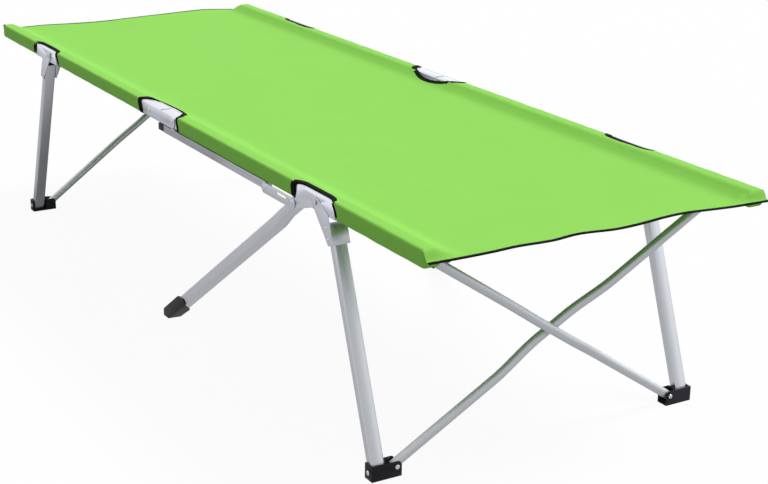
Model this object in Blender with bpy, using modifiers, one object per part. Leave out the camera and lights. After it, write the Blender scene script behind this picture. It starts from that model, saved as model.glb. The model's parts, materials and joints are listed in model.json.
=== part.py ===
# Folding camp bed: a cloth deck between two jointed side rails, held up by a swinging
# trestle of two splayed legs and two crossed tubes at each end, and by one slanted leg
# under the middle of each side. X runs along the length, Y across it, Z up from the floor.
# Each piece is shaped once in the quarter with X and Y positive and mirrored to the others.

import math

import bmesh
import bpy
from mathutils import Matrix, Vector
from mathutils.geometry import convex_hull_2d

for old in list(bpy.data.objects):
    bpy.data.objects.remove(old, do_unlink=True)

# Clearances: between parts that touch, round a turning pin, and beside a turning face.
TOUCH = 0.0003
PIN_PLAY = 0.00025
FACE_PLAY = 0.0004
LAP = 0.001
SHEET = 0.0014
RIVET_HEAD = 0.0014

# Side rails: square tube, jointed at the middle by two plates with a pin in each half.
RAIL_Y = 0.3115
RAIL_Z = 0.4125
RAIL = 0.025
RAIL_ROUND = 0.0035
WALL = 0.0012
RAIL_START = 0.0045
RAIL_END = 0.940
FLANGE = 0.0022
INSERT = 0.014
HINGE_X = 0.054
HINGE_PIN = 0.003
HINGE_HEAD = 0.005
PLATE_HALF = 0.012
PLATE_PAST_PIN = 0.030
PLATE_CORNER = 0.002

# Cloth: a sleeve round each rail and a deck slung between the sleeves' inner top edges.
CLOTH = 0.0012
SLEEVE_PAST_RAIL = 0.010
SLEEVE_PAST_HINGE = (0.0205, 0.056)
WINDOW_BEFORE_PIVOT = (0.090, 0.048)
WINDOW_PAST_PIVOT = (0.065, 0.109)
WINDOW_TOP_BITE = 0.015
WINDOW_TOP_RISE = 0.010
DECK_PAST_RAIL = 0.015
DECK_RISE = 0.0006
DECK_SLOPE = 0.0262
MIDDLE_DECK_INSET = 0.0047

# End legs: flat tube that swings about a pin in the rail and ends in a moulded foot.
PIVOT_X = 0.625
PIVOT_PIN = 0.0035
PIVOT_HEAD = 0.006
PIVOT_INBOARD = 0.02805
FOOT_PIN_Z = 0.0125
FOOT_PIN = 0.0025
LEG_ANGLE = math.radians(69.5)
LEG_THICK = 0.016
LEG_WIDTH = 0.025
LEG_ROUND = 0.003
LEG_SHORT_OF_PIVOT = 0.0398
LEG_BELOW_PIN = 0.005
HEAD_LENGTH = 0.042
HEAD_ABOVE_LEG = 0.0023
HEAD_EAR = 0.0097
HEAD_BEND = 0.0118

# Sheet metal brackets round the rail.
BRACKET_BEFORE_PIVOT = (0.069, 0.045)
BRACKET_PAST_PIVOT = (0.065, 0.089)
BRACKET_TAPER = 0.010
BRACKET_ABOVE_RAIL = 0.0006
BRACKET_INNER_SHORT = 0.002

# Foot block, measured from the leg's pin and from the rail's middle.
BLOCK_X = (-0.0112, 0.0118)
BLOCK_Y = (-0.0390, 0.0160)
BLOCK_HIGH = 0.0265
BLOCK_ROUND = 0.008
LEG_POCKET_PLAY = (0.0031, 0.0008)
LEG_POCKET_X = 0.0098
LEG_POCKET_Z = 0.0028
TUBE_POCKET_X = (-0.0096, 0.0100)
TUBE_POCKET_Y = -0.0186
TUBE_POCKET_Z = 0.0022
WEB_HALF = 0.0022
WEB_TOP = 0.0306
WEB_FLARE = (-0.0054, 0.0017)
FOOT_HEAD = 0.0045

# Crossed tubes of each end, in a plane that leans outwards as it rises.
TUBE_INBOARD = 0.0305
TUBE_PIN_Z = 0.0170
TUBE_TOP_OUT = 0.0635
TUBE_UNDER_DECK = 0.0211
TUBE_R = 0.008
TUBE_PIN = 0.0024
TUBE_BELOW_PIN = 0.007
TUBE_SHORT = 0.002
CROSS_OFFSET = 0.0083
CROSS_PIN = 0.003
CROSS_HEAD = 0.0055
BOW_FULL = 0.030
BOW_NONE = 0.130
BOW_EASE = 0.012
FITTING_R = 0.0092
FITTING_DOWN = 0.018
FITTING_UP = 0.005
FITTING_TIP = 0.003
FITTING_BOSS = 0.004
BOSS_GAP = 0.0009

# Middle legs, with the strut and the link plate that brace them under the rail.
MID_BEFORE_PIVOT = 0.0787
MID_UNDER_RAIL = 0.0245
MID_BASE_Z = 0.01033
MID_OUT = 0.0005
MID_THICK = 0.018
MID_WIDTH = 0.024
MID_PIN = 0.003
MID_START = 0.0165
MID_PAST_PIN = 0.005
CAP_WALL = 0.0016
CAP_HALF = 0.0115
CAP_LENGTH = 0.090
CAP_HEEL = 0.040
CAP_FACE_X = -0.0110
CAP_FACE_Z = (0.0035, 0.0165)
CAP_SOLE_X = (-0.0065, 0.0140)
STRUT_OUT = (0.0025, 0.0125)
STRUT_HALF = 0.007
STRUT_PAST_PIN = 0.0045
STRUT_PLUG = 0.015
HANGER_X = (-0.008, 0.008)
LINK_LENGTH = 0.1008
LINK_SLOT = (0.0203, 0.0553)
LINK_SLOT_HALF = 0.002
EAR_R = 0.0095
EAR_REACH = 0.0702

ALUMINIUM = (0.66, 0.68, 0.70, 0.36, 1.0)
DARK_ALUMINIUM = (0.40, 0.42, 0.44, 0.40, 1.0)
PLATED = (0.78, 0.80, 0.84, 0.28, 1.0)
STEEL_PIN = (0.74, 0.75, 0.78, 0.30, 1.0)
BLACK_PLASTIC = (0.026, 0.024, 0.032, 0.50, 0.0)
GREEN_CLOTH = (0.29, 0.67, 0.12, 0.80, 0.0)

parts = bpy.data.collections.new("folding_camp_bed")
bpy.context.scene.collection.children.link(parts)
bench = bpy.data.collections.new("bench")
bpy.context.scene.collection.children.link(bench)

# Frames in which outlines are drawn: along the length, and seen from the side.
LENGTHWISE = Matrix(((0, 0, 1, 0), (1, 0, 0, 0), (0, 1, 0, 0), (0, 0, 0, 1)))
SIDEWAYS = Matrix(((1, 0, 0, 0), (0, 0, -1, 0), (0, 1, 0, 0), (0, 0, 0, 1)))


def frame_of(first, second, third, origin):
    """A frame from its three axes and its origin."""
    axes = Matrix((first, second, third)).transposed().to_4x4()
    return Matrix.Translation(origin) @ axes


def circle(u, v, radius, sides=16):
    """Points round a circle."""
    turn = 2 * math.pi / sides
    angles = [turn * (i + 0.5) for i in range(sides)]
    return [(u + radius * math.cos(a), v + radius * math.sin(a)) for a in angles]


def rounded(u0, u1, v0, v1, radius, steps=2):
    """A rectangle's outline with rounded corners."""
    points = []
    centres = ((u1, v1, -1, -1), (u0, v1, 1, -1), (u0, v0, 1, 1), (u1, v0, -1, 1))
    for quarter, (u, v, su, sv) in enumerate(centres):
        for step in range(steps + 1):
            angle = math.pi / 2 * (quarter + step / steps)
            centre_u = u + su * radius
            centre_v = v + sv * radius
            points.append((centre_u + radius * math.cos(angle), centre_v + radius * math.sin(angle)))
    return points


def belt(*circles):
    """The outline of a belt stretched round circles, each given as (u, v, radius)."""
    points = []
    for u, v, radius in circles:
        points += circle(u, v, radius, 24)
    return [points[i] for i in convex_hull_2d(points)]


def tidied(mesh):
    """Joins the mesh's loose edges and turns its faces outwards."""
    work = bmesh.new()
    work.from_mesh(mesh)
    bmesh.ops.remove_doubles(work, verts=work.verts, dist=0.000001)
    bmesh.ops.recalc_face_normals(work, faces=work.faces)
    work.to_mesh(mesh)
    work.free()
    return mesh


def mesh_from(obj):
    """The evaluated mesh of an object, which is then removed."""
    bench.objects.link(obj)
    bpy.context.view_layer.update()
    graph = bpy.context.evaluated_depsgraph_get()
    mesh = bpy.data.meshes.new_from_object(obj.evaluated_get(graph))
    bpy.data.objects.remove(obj, do_unlink=True)
    return mesh


def pushed(frame, low, high, *outlines):
    """Outlines, the first outside and the others holes, filled and pushed from low to high."""
    curve = bpy.data.curves.new("outline", "CURVE")
    curve.dimensions = "2D"
    curve.fill_mode = "BOTH"
    curve.extrude = (high - low) / 2
    for outline in outlines:
        spline = curve.splines.new("POLY")
        spline.points.add(len(outline) - 1)
        for point, (u, v) in zip(spline.points, outline):
            point.co = (u, v, 0, 1)
        spline.use_cyclic_u = True
    mesh = mesh_from(bpy.data.objects.new("outline", curve))
    mesh.transform(frame @ Matrix.Translation((0, 0, (low + high) / 2)))
    return tidied(mesh)


def lengthwise(x0, x1, *outlines):
    """Outlines in (y, z) pushed along X."""
    return pushed(LENGTHWISE, x0, x1, *outlines)


def sideways(y0, y1, *outlines):
    """Outlines in (x, z) pushed along Y."""
    return pushed(SIDEWAYS, -y1, -y0, *outlines)


def block(x0, x1, y0, y1, z0, z1):
    """A plain box."""
    work = bmesh.new()
    bmesh.ops.create_cube(work, size=1)
    mesh = bpy.data.meshes.new("block")
    work.to_mesh(mesh)
    work.free()
    middle = Matrix.Translation(((x0 + x1) / 2, (y0 + y1) / 2, (z0 + z1) / 2))
    mesh.transform(middle @ Matrix.Diagonal((x1 - x0, y1 - y0, z1 - z0, 1)))
    return mesh


def rod(start, end, radius, sides=16, end_radius=None):
    """A round bar or a cone from one point to another."""
    start = Vector(start)
    along = Vector(end) - start
    work = bmesh.new()
    last = radius if end_radius is None else end_radius
    bmesh.ops.create_cone(
        work, cap_ends=True, segments=sides, radius1=radius, radius2=last, depth=along.length
    )
    mesh = bpy.data.meshes.new("rod")
    work.to_mesh(mesh)
    work.free()
    turn = along.to_track_quat("Z", "Y").to_matrix().to_4x4()
    mesh.transform(Matrix.Translation(start + along / 2) @ turn)
    return mesh


def cross_rod(point, y0, y1, radius, sides=16):
    """A round bar along Y through the point (x, z)."""
    return rod((point[0], y0, point[1]), (point[0], y1, point[1]), radius, sides)


def shaped(mesh, join=(), cut=()):
    """The mesh with other meshes joined to it and then others cut from it."""
    body = bpy.data.objects.new("body", mesh)
    helpers = []
    for operation, tools in (("UNION", join), ("DIFFERENCE", cut)):
        for tool in tools:
            helper = bpy.data.objects.new("helper", tool)
            bench.objects.link(helper)
            helpers.append(helper)
            step = body.modifiers.new(operation.title(), "BOOLEAN")
            step.operation = operation
            step.object = helper
    result = mesh_from(body)
    for helper in helpers:
        bpy.data.objects.remove(helper, do_unlink=True)
    return result


def piece(name, mesh, joint, look, mirror=(1, 1)):
    """One named piece, mirrored to its quarter, with its own material, hung from its joint."""
    own = mesh.copy()
    own.name = name
    own.transform(Matrix.Diagonal((mirror[0], mirror[1], 1, 1)))
    if mirror[0] * mirror[1] < 0:
        own.flip_normals()
    own.shade_smooth()
    own.set_sharp_from_angle(angle=math.radians(32))
    material = bpy.data.materials.new(name)
    material.use_nodes = True
    shader = material.node_tree.nodes["Principled BSDF"]
    shader.inputs["Base Color"].default_value = (*look[:3], 1)
    shader.inputs["Roughness"].default_value = look[3]
    shader.inputs["Metallic"].default_value = look[4]
    own.materials.clear()
    own.materials.append(material)
    obj = bpy.data.objects.new(name, own)
    parts.objects.link(obj)
    obj.parent = joint
    obj.matrix_parent_inverse = joint.matrix_world.inverted()
    return obj


def joint_at(name, place, parent=None):
    """An empty on a joint's axis, from which the moving pieces hang."""
    empty = bpy.data.objects.new(name, None)
    empty.empty_display_size = HINGE_X / 2
    parts.objects.link(empty)
    if parent:
        empty.parent = parent
        empty.matrix_parent_inverse = parent.matrix_world.inverted()
    empty.matrix_world = Matrix.Translation(place)
    bpy.context.view_layer.update()
    return empty


# Side rail, with the holes for the leg's pivot pin and the middle hinge's pin.
rail_inner_y = RAIL_Y - RAIL / 2
rail_outer_y = RAIL_Y + RAIL / 2
rail_low = RAIL_Z - RAIL / 2
rail_high = RAIL_Z + RAIL / 2
through = (RAIL_Y - 1.2 * RAIL, RAIL_Y + 1.2 * RAIL)
pivot = (PIVOT_X, RAIL_Z)
hinge_pin = (HINGE_X, RAIL_Z)


def square_ring(half, radius):
    """The outline of a square round the rail's axis."""
    return rounded(RAIL_Y - half, RAIL_Y + half, RAIL_Z - half, RAIL_Z + half, radius)


rail_mesh = shaped(
    lengthwise(
        RAIL_START,
        RAIL_END,
        square_ring(RAIL / 2, RAIL_ROUND),
        square_ring(RAIL / 2 - WALL, RAIL_ROUND - WALL),
    ),
    cut=(
        cross_rod(pivot, *through, PIVOT_PIN + PIN_PLAY),
        cross_rod(hinge_pin, *through, HINGE_PIN + PIN_PLAY),
    ),
)

# Plugs: a flange as large as the rail, on an insert that fits inside it.
insert = square_ring(RAIL / 2 - WALL - TOUCH, RAIL_ROUND - WALL)
flange = square_ring(RAIL / 2, RAIL_ROUND)
end_plug_mesh = shaped(
    lengthwise(RAIL_END + TOUCH, RAIL_END + TOUCH + FLANGE, flange),
    join=(lengthwise(RAIL_END - INSERT, RAIL_END + TOUCH + FLANGE / 2, insert),),
)
hinge_plug_mesh = shaped(
    lengthwise(RAIL_START - TOUCH - FLANGE, RAIL_START - TOUCH, flange),
    join=(lengthwise(RAIL_START - TOUCH - FLANGE / 2, RAIL_START + INSERT, insert),),
)

# Cloth sleeves, with the window that shows the leg's bracket and the rail.
sleeve_inner = RAIL / 2 + TOUCH
sleeve_outer = sleeve_inner + CLOTH
sleeve_outer_y = RAIL_Y + sleeve_outer
sleeve_inner_y = RAIL_Y - sleeve_outer
window_inner_top = RAIL_Z + WINDOW_TOP_RISE
sleeve_meshes = []
for past_hinge, before, after in zip(SLEEVE_PAST_HINGE, WINDOW_BEFORE_PIVOT, WINDOW_PAST_PIVOT):
    window = (PIVOT_X - before, PIVOT_X + after)
    sleeve_meshes.append(
        shaped(
            lengthwise(
                HINGE_X + past_hinge,
                RAIL_END + SLEEVE_PAST_RAIL,
                square_ring(sleeve_outer, RAIL_ROUND + TOUCH + CLOTH),
                square_ring(sleeve_inner, RAIL_ROUND + TOUCH),
            ),
            cut=(
                block(*window, sleeve_outer_y - WINDOW_TOP_BITE, RAIL_Y + RAIL, RAIL_Z - RAIL, RAIL_Z + RAIL),
                block(*window, RAIL_Y - RAIL, RAIL_Y + RAIL, RAIL_Z - RAIL, window_inner_top),
            ),
        )
    )

# Deck, with a slope up to each sleeve.
deck_z = RAIL_Z + DECK_RISE
deck_half = sleeve_inner_y - TOUCH
deck_flat_y = deck_half - DECK_SLOPE
deck_edge_z = RAIL_Z + sleeve_outer - TOUCH


def deck_mesh(x0, x1, half_width):
    """A stretch of the deck as wide as given."""
    edge_z = deck_z + (deck_edge_z - deck_z) * (half_width - deck_flat_y) / DECK_SLOPE
    top = [(-half_width, edge_z), (-deck_flat_y, deck_z), (deck_flat_y, deck_z), (half_width, edge_z)]
    under = [(y, z - CLOTH) for y, z in reversed(top)]
    return lengthwise(x0, x1, top + under)


end_deck_mesh = deck_mesh(HINGE_X + TOUCH, RAIL_END + DECK_PAST_RAIL, deck_half)
middle_deck_mesh = deck_mesh(-HINGE_X, HINGE_X, deck_half - MIDDLE_DECK_INSET)

# Leg brackets: sheet metal folded up round the rail from below. Those of the first kind
# carry the middle leg between two ears.
outer_wall_y = rail_outer_y + TOUCH
inner_wall_y = rail_inner_y - TOUCH
web_top = rail_low - TOUCH
wall_high = rail_high + BRACKET_ABOVE_RAIL
inner_wall_high = window_inner_top - BRACKET_INNER_SHORT
mid_pivot = (PIVOT_X - MID_BEFORE_PIVOT, RAIL_Z - MID_UNDER_RAIL)
bracket_meshes = []
for kind, (before, after) in enumerate(zip(BRACKET_BEFORE_PIVOT, BRACKET_PAST_PIVOT)):
    first = PIVOT_X - before
    last = PIVOT_X + after
    wall = [
        (first, web_top - SHEET),
        (last, web_top - SHEET),
        (last - BRACKET_TAPER, wall_high),
        (first + BRACKET_TAPER, wall_high),
    ]
    low_wall = [(x, min(z, inner_wall_high)) for x, z in wall]
    walls = [
        sideways(outer_wall_y, outer_wall_y + SHEET, wall),
        sideways(inner_wall_y - SHEET, inner_wall_y, low_wall),
    ]
    holes = [cross_rod(pivot, *through, PIVOT_PIN + PIN_PLAY)]
    if kind == 0:
        ear = belt(
            (*mid_pivot, EAR_R),
            (mid_pivot[0] + EAR_REACH, web_top + LAP, LAP),
            (first + BRACKET_TAPER, web_top, LAP),
        )
        walls.append(sideways(outer_wall_y, outer_wall_y + SHEET, ear))
        walls.append(sideways(inner_wall_y - SHEET, inner_wall_y, ear))
        holes.append(cross_rod(mid_pivot, *through, MID_PIN + PIN_PLAY))
    web = block(
        first + 0.6 * BRACKET_TAPER,
        last - 0.2 * BRACKET_TAPER,
        inner_wall_y - SHEET / 2,
        outer_wall_y + SHEET / 2,
        web_top - SHEET,
        web_top,
    )
    bracket_meshes.append(shaped(web, join=walls, cut=holes))

# Pin through the rail, the bracket and the leg head's two ears.
outer_ear_y = outer_wall_y + SHEET + FACE_PLAY
inner_ear_y = inner_wall_y - SHEET - FACE_PLAY
head_outer_y = outer_ear_y + SHEET
head_inner_y = inner_ear_y - SHEET
pivot_pin_mesh = shaped(
    cross_rod(pivot, head_inner_y - LAP, head_outer_y + LAP, PIVOT_PIN),
    join=(
        cross_rod(pivot, head_outer_y + TOUCH, head_outer_y + TOUCH + RIVET_HEAD, PIVOT_HEAD),
        cross_rod(pivot, head_inner_y - TOUCH - RIVET_HEAD, head_inner_y - TOUCH, PIVOT_HEAD),
    ),
)

# End leg, drawn in a frame that stands on the foot pin and rises along the leg.
leg_up = Vector((-math.cos(LEG_ANGLE), 0, math.sin(LEG_ANGLE)))
leg_out = Vector((math.sin(LEG_ANGLE), 0, math.cos(LEG_ANGLE)))
pivot_up = (RAIL_Z - FOOT_PIN_Z + PIVOT_INBOARD * leg_out.z) / leg_up.z
foot_pin = Vector((PIVOT_X, 0, RAIL_Z)) - leg_up * pivot_up + leg_out * PIVOT_INBOARD
foot_pin_xz = (foot_pin.x, foot_pin.z)
LEG_FRAME = frame_of(leg_out, (0, 1, 0), leg_up, foot_pin)
leg_top = pivot_up - LEG_SHORT_OF_PIVOT
leg_y = (rail_inner_y + MID_OUT, rail_inner_y + MID_OUT + LEG_WIDTH)


def on_leg(along, out):
    """The point (x, z) this far up the leg and this far out from its axis."""
    point = foot_pin + leg_up * along + leg_out * out
    return point.x, point.z


leg_mesh = shaped(
    pushed(
        LEG_FRAME,
        -LEG_BELOW_PIN,
        leg_top,
        rounded(-LEG_THICK / 2, LEG_THICK / 2, *leg_y, LEG_ROUND),
        rounded(
            -LEG_THICK / 2 + WALL, LEG_THICK / 2 - WALL, leg_y[0] + WALL, leg_y[1] - WALL, LEG_ROUND - WALL
        ),
    ),
    cut=(cross_rod(foot_pin_xz, *through, FOOT_PIN + PIN_PLAY),),
)

# Leg head: a channel round the leg's top whose sides rise as ears to the pivot pin.
wrap_half = LEG_THICK / 2 + TOUCH
ear_outline = belt(
    (*pivot, HEAD_EAR),
    (*on_leg(leg_top + HEAD_BEND, 0.22 * LEG_THICK), 0.31 * LEG_THICK),
    (*on_leg(leg_top - 0.9 * HEAD_LENGTH, 0.31 * LEG_THICK), 0.19 * LEG_THICK),
    (*on_leg(leg_top - 0.9 * HEAD_LENGTH, -0.31 * LEG_THICK), 0.19 * LEG_THICK),
)
wrap = pushed(
    LEG_FRAME,
    leg_top - HEAD_LENGTH,
    leg_top + HEAD_ABOVE_LEG,
    [
        (-LEG_THICK / 2, head_inner_y),
        (wrap_half + SHEET, head_inner_y),
        (wrap_half + SHEET, head_outer_y),
        (-LEG_THICK / 2, head_outer_y),
        (-LEG_THICK / 2, leg_y[1] + TOUCH),
        (wrap_half, leg_y[1] + TOUCH),
        (wrap_half, leg_y[0] - TOUCH),
        (-LEG_THICK / 2, leg_y[0] - TOUCH),
    ],
)
leg_head_mesh = shaped(
    wrap,
    join=(
        sideways(outer_ear_y, head_outer_y, ear_outline),
        sideways(head_inner_y, inner_ear_y, ear_outline),
    ),
    cut=(cross_rod(pivot, *through, PIVOT_PIN + PIN_PLAY),),
)

# Crossed tubes: their plane's outward normal, and the middle where they cross.
tube_y = RAIL_Y - TUBE_INBOARD
tube_foot = Vector((foot_pin.x, tube_y, TUBE_PIN_Z))
tube_top = Vector((foot_pin.x + TUBE_TOP_OUT, -tube_y, deck_z - TUBE_UNDER_DECK))
plane_rise = Vector((tube_top.x - tube_foot.x, 0, tube_top.z - tube_foot.z)).normalized()
plane_out = Vector((plane_rise.z, 0, -plane_rise.x))
crossing = (tube_foot + tube_top) / 2
tube_length = (tube_top - tube_foot).length
tube_way = (tube_top - tube_foot).normalized()


def past_crossing(out):
    """The point this far out from where the tubes cross."""
    return crossing + plane_out * out


def tube_mesh(side):
    """A hollow tube from the foot at +Y to the top at -Y, bowed past its partner at the middle."""
    curve = bpy.data.curves.new("tube", "CURVE")
    curve.dimensions = "3D"
    curve.bevel_depth = TUBE_R
    curve.bevel_resolution = 6
    bent = ((BOW_FULL, 1), (BOW_FULL + BOW_EASE, 0.94), (BOW_NONE - BOW_EASE, 0.06), (BOW_NONE, 0))
    stations = [(-tube_length / 2 - TUBE_BELOW_PIN, 0)]
    stations += [(-station, bow) for station, bow in reversed(bent)]
    stations += list(bent)
    stations.append((tube_length / 2 - TUBE_SHORT, 0))
    spline = curve.splines.new("POLY")
    spline.points.add(len(stations) - 1)
    for point, (station, bow) in zip(spline.points, stations):
        point.co = (*(past_crossing(side * CROSS_OFFSET * bow) + tube_way * station), 1)
    obj = bpy.data.objects.new("tube", tidied(mesh_from(bpy.data.objects.new("tube", curve))))
    shell = obj.modifiers.new("Solidify", "SOLIDIFY")
    shell.thickness = WALL
    shell.offset = -1
    reach = plane_out * 2 * TUBE_R
    return shaped(mesh_from(obj), cut=(rod(tube_foot - reach, tube_foot + reach, TUBE_PIN + PIN_PLAY),))


# The tube from the left foot carries the middle rivet; the other turns on it.
rivet_low = -CROSS_OFFSET - TUBE_R
rivet_high = CROSS_OFFSET + TUBE_R + TOUCH
tube_a_mesh = shaped(
    tube_mesh(-1),
    join=(
        rod(past_crossing(rivet_low - RIVET_HEAD / 2), past_crossing(rivet_high + RIVET_HEAD / 2), CROSS_PIN),
        rod(past_crossing(rivet_low - RIVET_HEAD), past_crossing(rivet_low + WALL / 2), CROSS_HEAD),
        rod(past_crossing(rivet_high), past_crossing(rivet_high + RIVET_HEAD), CROSS_HEAD),
    ),
)
tube_b_mesh = shaped(
    tube_mesh(1),
    cut=(rod(crossing, past_crossing(CROSS_OFFSET + 2 * TUBE_R), CROSS_PIN + PIN_PLAY),),
)

# Fitting on each tube's top end: a rounded cap with a boss towards the rail.
cap_base = tube_top - tube_way * FITTING_DOWN
cap_end = tube_top + tube_way * FITTING_UP
cap_tip = cap_end + tube_way * FITTING_TIP
boss_start = tube_top - Vector((0, FITTING_BOSS, 0))
boss_end = Vector((tube_top.x, -(sleeve_inner_y - BOSS_GAP), tube_top.z))
fitting_mesh = shaped(
    rod(cap_base, cap_end, FITTING_R),
    join=(
        rod(cap_end - tube_way * LAP, cap_tip, FITTING_R, 16, FITTING_R - FITTING_TIP),
        rod(boss_start, boss_end, FITTING_BOSS),
    ),
    cut=(rod(cap_base - tube_way * TUBE_R, tube_top - tube_way * (TUBE_SHORT - TOUCH), TUBE_R + TOUCH),),
)

# Foot block with a pocket for the leg and one for the tube, and their two pins.
block_x = (foot_pin.x + BLOCK_X[0], foot_pin.x + BLOCK_X[1])
block_y = (RAIL_Y + BLOCK_Y[0], RAIL_Y + BLOCK_Y[1])
leg_pocket_y = (leg_y[0] - LEG_POCKET_PLAY[0], leg_y[1] + LEG_POCKET_PLAY[1])
tube_pocket_y = RAIL_Y + TUBE_POCKET_Y
block_outline = [(block_y[1], 0.0), (block_y[1], BLOCK_HIGH)]
for step in range(5):
    angle = math.pi / 2 * step / 4
    block_outline.append(
        (
            block_y[0] + BLOCK_ROUND - BLOCK_ROUND * math.sin(angle),
            BLOCK_HIGH - BLOCK_ROUND + BLOCK_ROUND * math.cos(angle),
        )
    )
block_outline.append((block_y[0], 0.0))
hollow_foot = shaped(
    lengthwise(*block_x, block_outline),
    cut=(
        block(foot_pin.x - RAIL, foot_pin.x + LEG_POCKET_X, *leg_pocket_y, LEG_POCKET_Z, 2 * BLOCK_HIGH),
        block(
            foot_pin.x + TUBE_POCKET_X[0],
            foot_pin.x + TUBE_POCKET_X[1],
            block_y[0] - BLOCK_ROUND,
            tube_pocket_y,
            TUBE_POCKET_Z,
            2 * BLOCK_HIGH,
        ),
    ),
)

# The wall between the pockets rises as a web that flares to both sides.
web_base = BLOCK_HIGH - 0.003
web = lengthwise(
    foot_pin.x - WEB_HALF,
    foot_pin.x + WEB_HALF,
    [
        (tube_pocket_y, TUBE_POCKET_Z),
        (leg_pocket_y[0], TUBE_POCKET_Z),
        (leg_pocket_y[0], web_base),
        (leg_pocket_y[0] + WEB_FLARE[1], WEB_TOP),
        (tube_pocket_y + WEB_FLARE[0], WEB_TOP - LAP / 2),
        (tube_pocket_y, web_base),
    ],
)
outward = plane_out / plane_out.x


def tube_pin_rod(near_x, far_x, radius):
    """A round bar along the tube's pin, between two distances from it along X."""
    return rod(tube_foot + outward * near_x, tube_foot + outward * far_x, radius)


foot_mesh = shaped(
    hollow_foot,
    join=(
        web,
        cross_rod(foot_pin_xz, leg_pocket_y[0] - LAP, leg_pocket_y[1] + LAP, FOOT_PIN),
        cross_rod(foot_pin_xz, block_y[1] - LAP, block_y[1] + RIVET_HEAD / 1.5, FOOT_HEAD),
        tube_pin_rod(BLOCK_X[0] + LAP / 2, BLOCK_X[1] - LAP / 2, TUBE_PIN),
        tube_pin_rod(BLOCK_X[1] - LAP, BLOCK_X[1] + LAP, FOOT_HEAD),
        tube_pin_rod(BLOCK_X[0] - LAP, BLOCK_X[0] + LAP, FOOT_HEAD),
    ),
)

# Middle leg, drawn in a frame that rises along it from the floor at X = 0.
mid_angle = math.atan2(mid_pivot[1] - MID_BASE_Z, mid_pivot[0])
mid_way = Vector((math.cos(mid_angle), 0, math.sin(mid_angle)))
mid_under = Vector((math.sin(mid_angle), 0, -math.cos(mid_angle)))
mid_length = mid_pivot[0] / mid_way.x
mid_base = Vector((0, 0, MID_BASE_Z))
MID_FRAME = frame_of(mid_under, (0, 1, 0), mid_way, mid_base)
mid_y = (RAIL_Y + MID_OUT - MID_WIDTH / 2, RAIL_Y + MID_OUT + MID_WIDTH / 2)
mid_leg_mesh = shaped(
    pushed(
        MID_FRAME,
        MID_START,
        mid_length + MID_PAST_PIN,
        rounded(-MID_THICK / 2, MID_THICK / 2, *mid_y, LEG_ROUND),
        rounded(
            -MID_THICK / 2 + WALL, MID_THICK / 2 - WALL, mid_y[0] + WALL, mid_y[1] - WALL, LEG_ROUND - WALL
        ),
    ),
    cut=(cross_rod(mid_pivot, *through, MID_PIN + PIN_PLAY),),
)


def on_mid_leg(along, under):
    """The point (x, z) this far up the middle leg and this far under its axis."""
    point = mid_base + mid_way * along + mid_under * under
    return point.x, point.z


mid_cap_mesh = shaped(
    sideways(
        mid_y[0] - CAP_WALL,
        mid_y[1] + CAP_WALL,
        [
            (CAP_SOLE_X[0], 0.0),
            (CAP_SOLE_X[1], 0.0),
            on_mid_leg(CAP_HEEL, CAP_HALF),
            on_mid_leg(CAP_LENGTH, CAP_HALF),
            on_mid_leg(CAP_LENGTH, -CAP_HALF),
            (CAP_FACE_X, CAP_FACE_Z[1]),
            (CAP_FACE_X, CAP_FACE_Z[0]),
        ],
    ),
    cut=(
        pushed(
            MID_FRAME,
            MID_START - TOUCH,
            2 * CAP_LENGTH,
            rounded(
                -MID_THICK / 2 - TOUCH, MID_THICK / 2 + TOUCH, mid_y[0] - TOUCH, mid_y[1] + TOUCH, LEG_ROUND
            ),
        ),
    ),
)

# Strut under the rail, with a hanger near the middle hinge and a plug in its end.
strut_y = (RAIL_Y + STRUT_OUT[0], RAIL_Y + STRUT_OUT[1])
strut_z = (mid_pivot[1] + 0.0025 - STRUT_HALF, mid_pivot[1] + 0.0025 + STRUT_HALF)
link_pin = (mid_pivot[0] - LINK_LENGTH, mid_pivot[1])
strut_mesh = shaped(
    block(-STRUT_PLUG, link_pin[0] + STRUT_PAST_PIN, *strut_y, *strut_z),
    join=(
        block(
            HINGE_X + HANGER_X[0],
            HINGE_X + HANGER_X[1],
            strut_y[0] + LAP / 2,
            strut_y[1] - LAP / 2,
            strut_z[1] - LAP,
            web_top,
        ),
    ),
    cut=(cross_rod(link_pin, *through, MID_PIN + PIN_PLAY),),
)

# Link plate on the outside, from the strut's end to the middle leg's pivot, with its pins.
link_y = (outer_wall_y + SHEET + TOUCH, outer_wall_y + 2 * SHEET + TOUCH)
slot_z = mid_pivot[1] + 0.3 * EAR_R
link_plate_mesh = shaped(
    sideways(
        *link_y,
        belt((*link_pin, EAR_R), (*mid_pivot, EAR_R)),
        rounded(
            mid_pivot[0] - LINK_SLOT[1],
            mid_pivot[0] - LINK_SLOT[0],
            slot_z - LINK_SLOT_HALF,
            slot_z + LINK_SLOT_HALF,
            0.9 * LINK_SLOT_HALF,
        ),
    ),
    join=(
        cross_rod(mid_pivot, inner_wall_y - SHEET - LAP, link_y[1] - SHEET / 7, MID_PIN),
        cross_rod(mid_pivot, link_y[1] - SHEET / 3, link_y[1] + SHEET / 1.4, HINGE_HEAD),
        cross_rod(link_pin, strut_y[0] - LAP, link_y[1] - SHEET / 7, MID_PIN),
        cross_rod(link_pin, link_y[1] - SHEET / 3, link_y[1] + SHEET / 1.4, HINGE_HEAD),
    ),
)

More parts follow.
